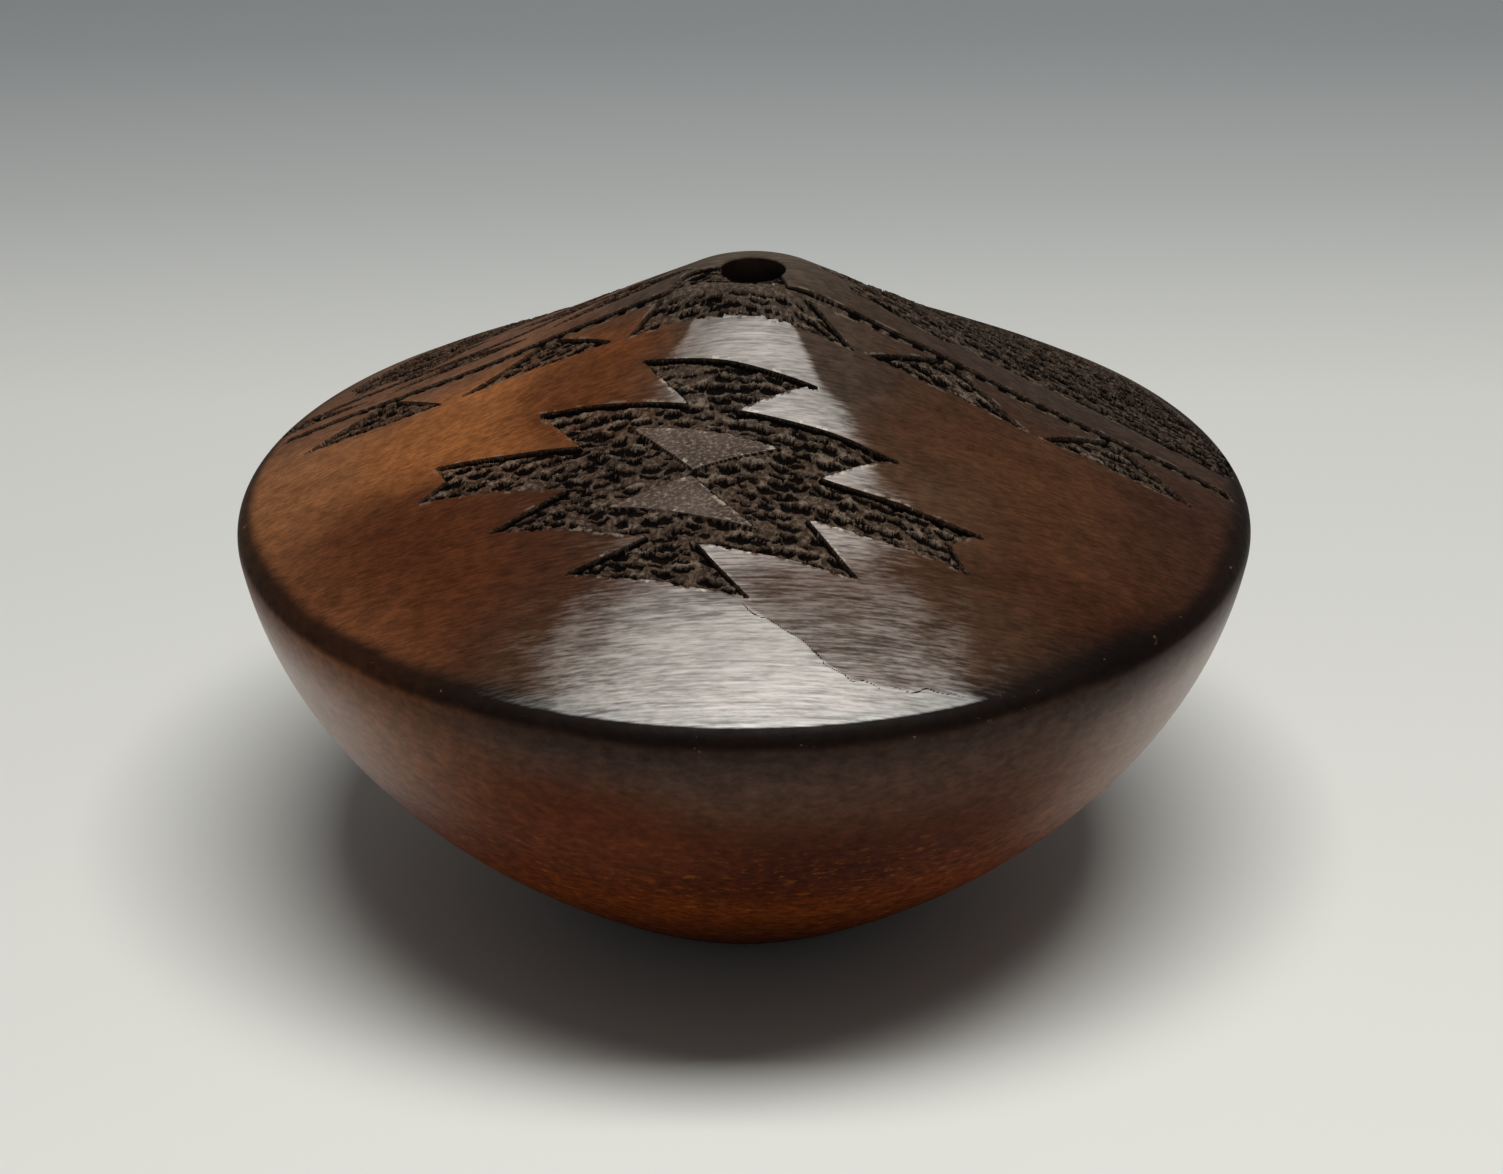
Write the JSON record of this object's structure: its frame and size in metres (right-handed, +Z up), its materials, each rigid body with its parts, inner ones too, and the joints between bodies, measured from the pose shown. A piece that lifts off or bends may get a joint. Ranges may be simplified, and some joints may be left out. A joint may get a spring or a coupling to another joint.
{
  "type": "seed pot",
  "caption": "Coil-built burnished clay seed jar: flat foot, wide bowl, keeled edge and low conical top with carved serrated figures around one small seed hole.",
  "frame": {"origin": "on the floor, under the middle of the keel and of the foot", "axes": "+Z up through the seed hole, -Y towards the front that the picture shows, +X to the right of it"},
  "size_m": [0.2028, 0.2028, 0.1343],
  "materials": {
    "bowl_clay": "burnished",
    "keel_clay": "burnished",
    "shoulder_clay": "burnished with a matt carved ground",
    "mouth_clay": "satin with a matt carved ground"
  },
  "bodies": {
    "root": {"base_pat": "bowl_clay", "bowl_coil_1": "bowl_clay", "bowl_coil_2": "bowl_clay", "bowl_coil_3": "bowl_clay", "bowl_coil_4": "bowl_clay", "keel_coil": "keel_clay", "shoulder_coil_1": "shoulder_clay", "shoulder_coil_2": "shoulder_clay", "shoulder_coil_3": "shoulder_clay", "shoulder_coil_4": "shoulder_clay", "shoulder_coil_5": "shoulder_clay", "mouth_ring": "mouth_clay"}
  },
  "joints": []
}
